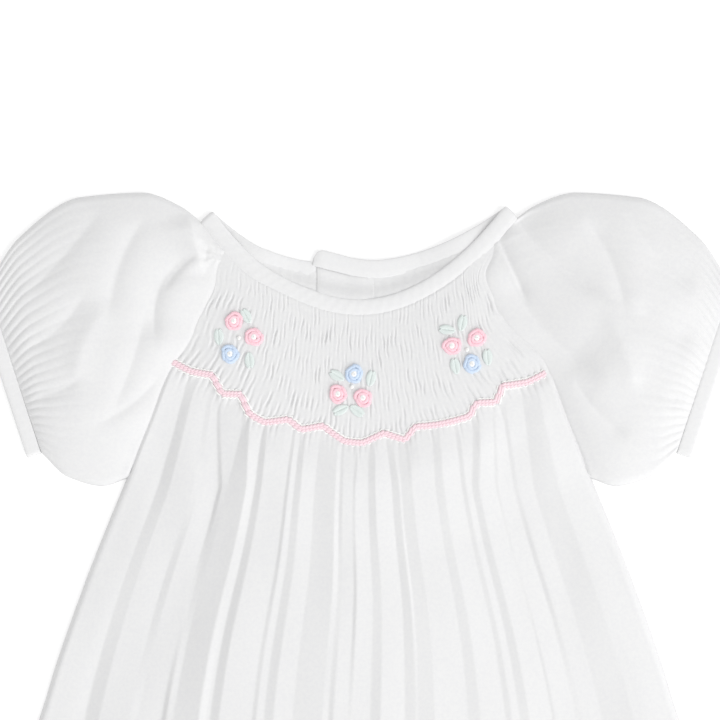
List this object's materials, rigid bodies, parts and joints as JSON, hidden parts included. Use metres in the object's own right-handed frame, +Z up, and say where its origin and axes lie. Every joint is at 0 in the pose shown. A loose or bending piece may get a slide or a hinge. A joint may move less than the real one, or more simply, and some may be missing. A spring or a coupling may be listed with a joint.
{
  "type": "smocked bubble romper laid flat",
  "caption": "Baby's white bubble romper laid flat: smocked yoke with rose sprays, raglan puff sleeves, bias bindings and a body gathered below the smocking.",
  "frame": {"origin": "middle of the garment's footprint, on the surface that it lies on", "axes": "+X towards the viewer's right sleeve, +Y towards the neck, +Z up out of the garment's front"},
  "size_m": [0.3658, 0.4232, 0.0157],
  "materials": {
    "batiste": "fine matte cotton batiste",
    "binding": "bias-cut cotton, matte",
    "floss_pink": "stranded cotton floss",
    "floss_blue": "stranded cotton floss",
    "floss_mint": "stranded cotton floss"
  },
  "bodies": {
    "root": {"front": "batiste", "back_left": "batiste", "back_right": "batiste", "back_placket": "batiste", "sleeve_left": "batiste", "sleeve_right": "batiste", "neckband": "binding", "cuff_left": "binding", "cuff_right": "binding", "leg_band_left": "binding", "leg_band_right": "binding", "crotch_band_front": "binding", "crotch_band_back": "binding", "rose_left_1": "floss_pink", "rose_left_2": "floss_pink", "rose_left_3": "floss_blue", "rose_middle_1": "floss_blue", "rose_middle_2": "floss_pink", "rose_middle_3": "floss_pink", "rose_right_1": "floss_pink", "rose_right_2": "floss_pink", "rose_right_3": "floss_blue", "leaf_left_1": "floss_mint", "leaf_left_2": "floss_mint", "leaf_left_3": "floss_mint", "leaf_middle_1": "floss_mint", "leaf_middle_2": "floss_mint", "leaf_middle_3": "floss_mint", "leaf_middle_4": "floss_mint", "leaf_right_1": "floss_mint", "leaf_right_2": "floss_mint", "leaf_right_3": "floss_mint", "leaf_right_4": "floss_mint"}
  },
  "joints": []
}
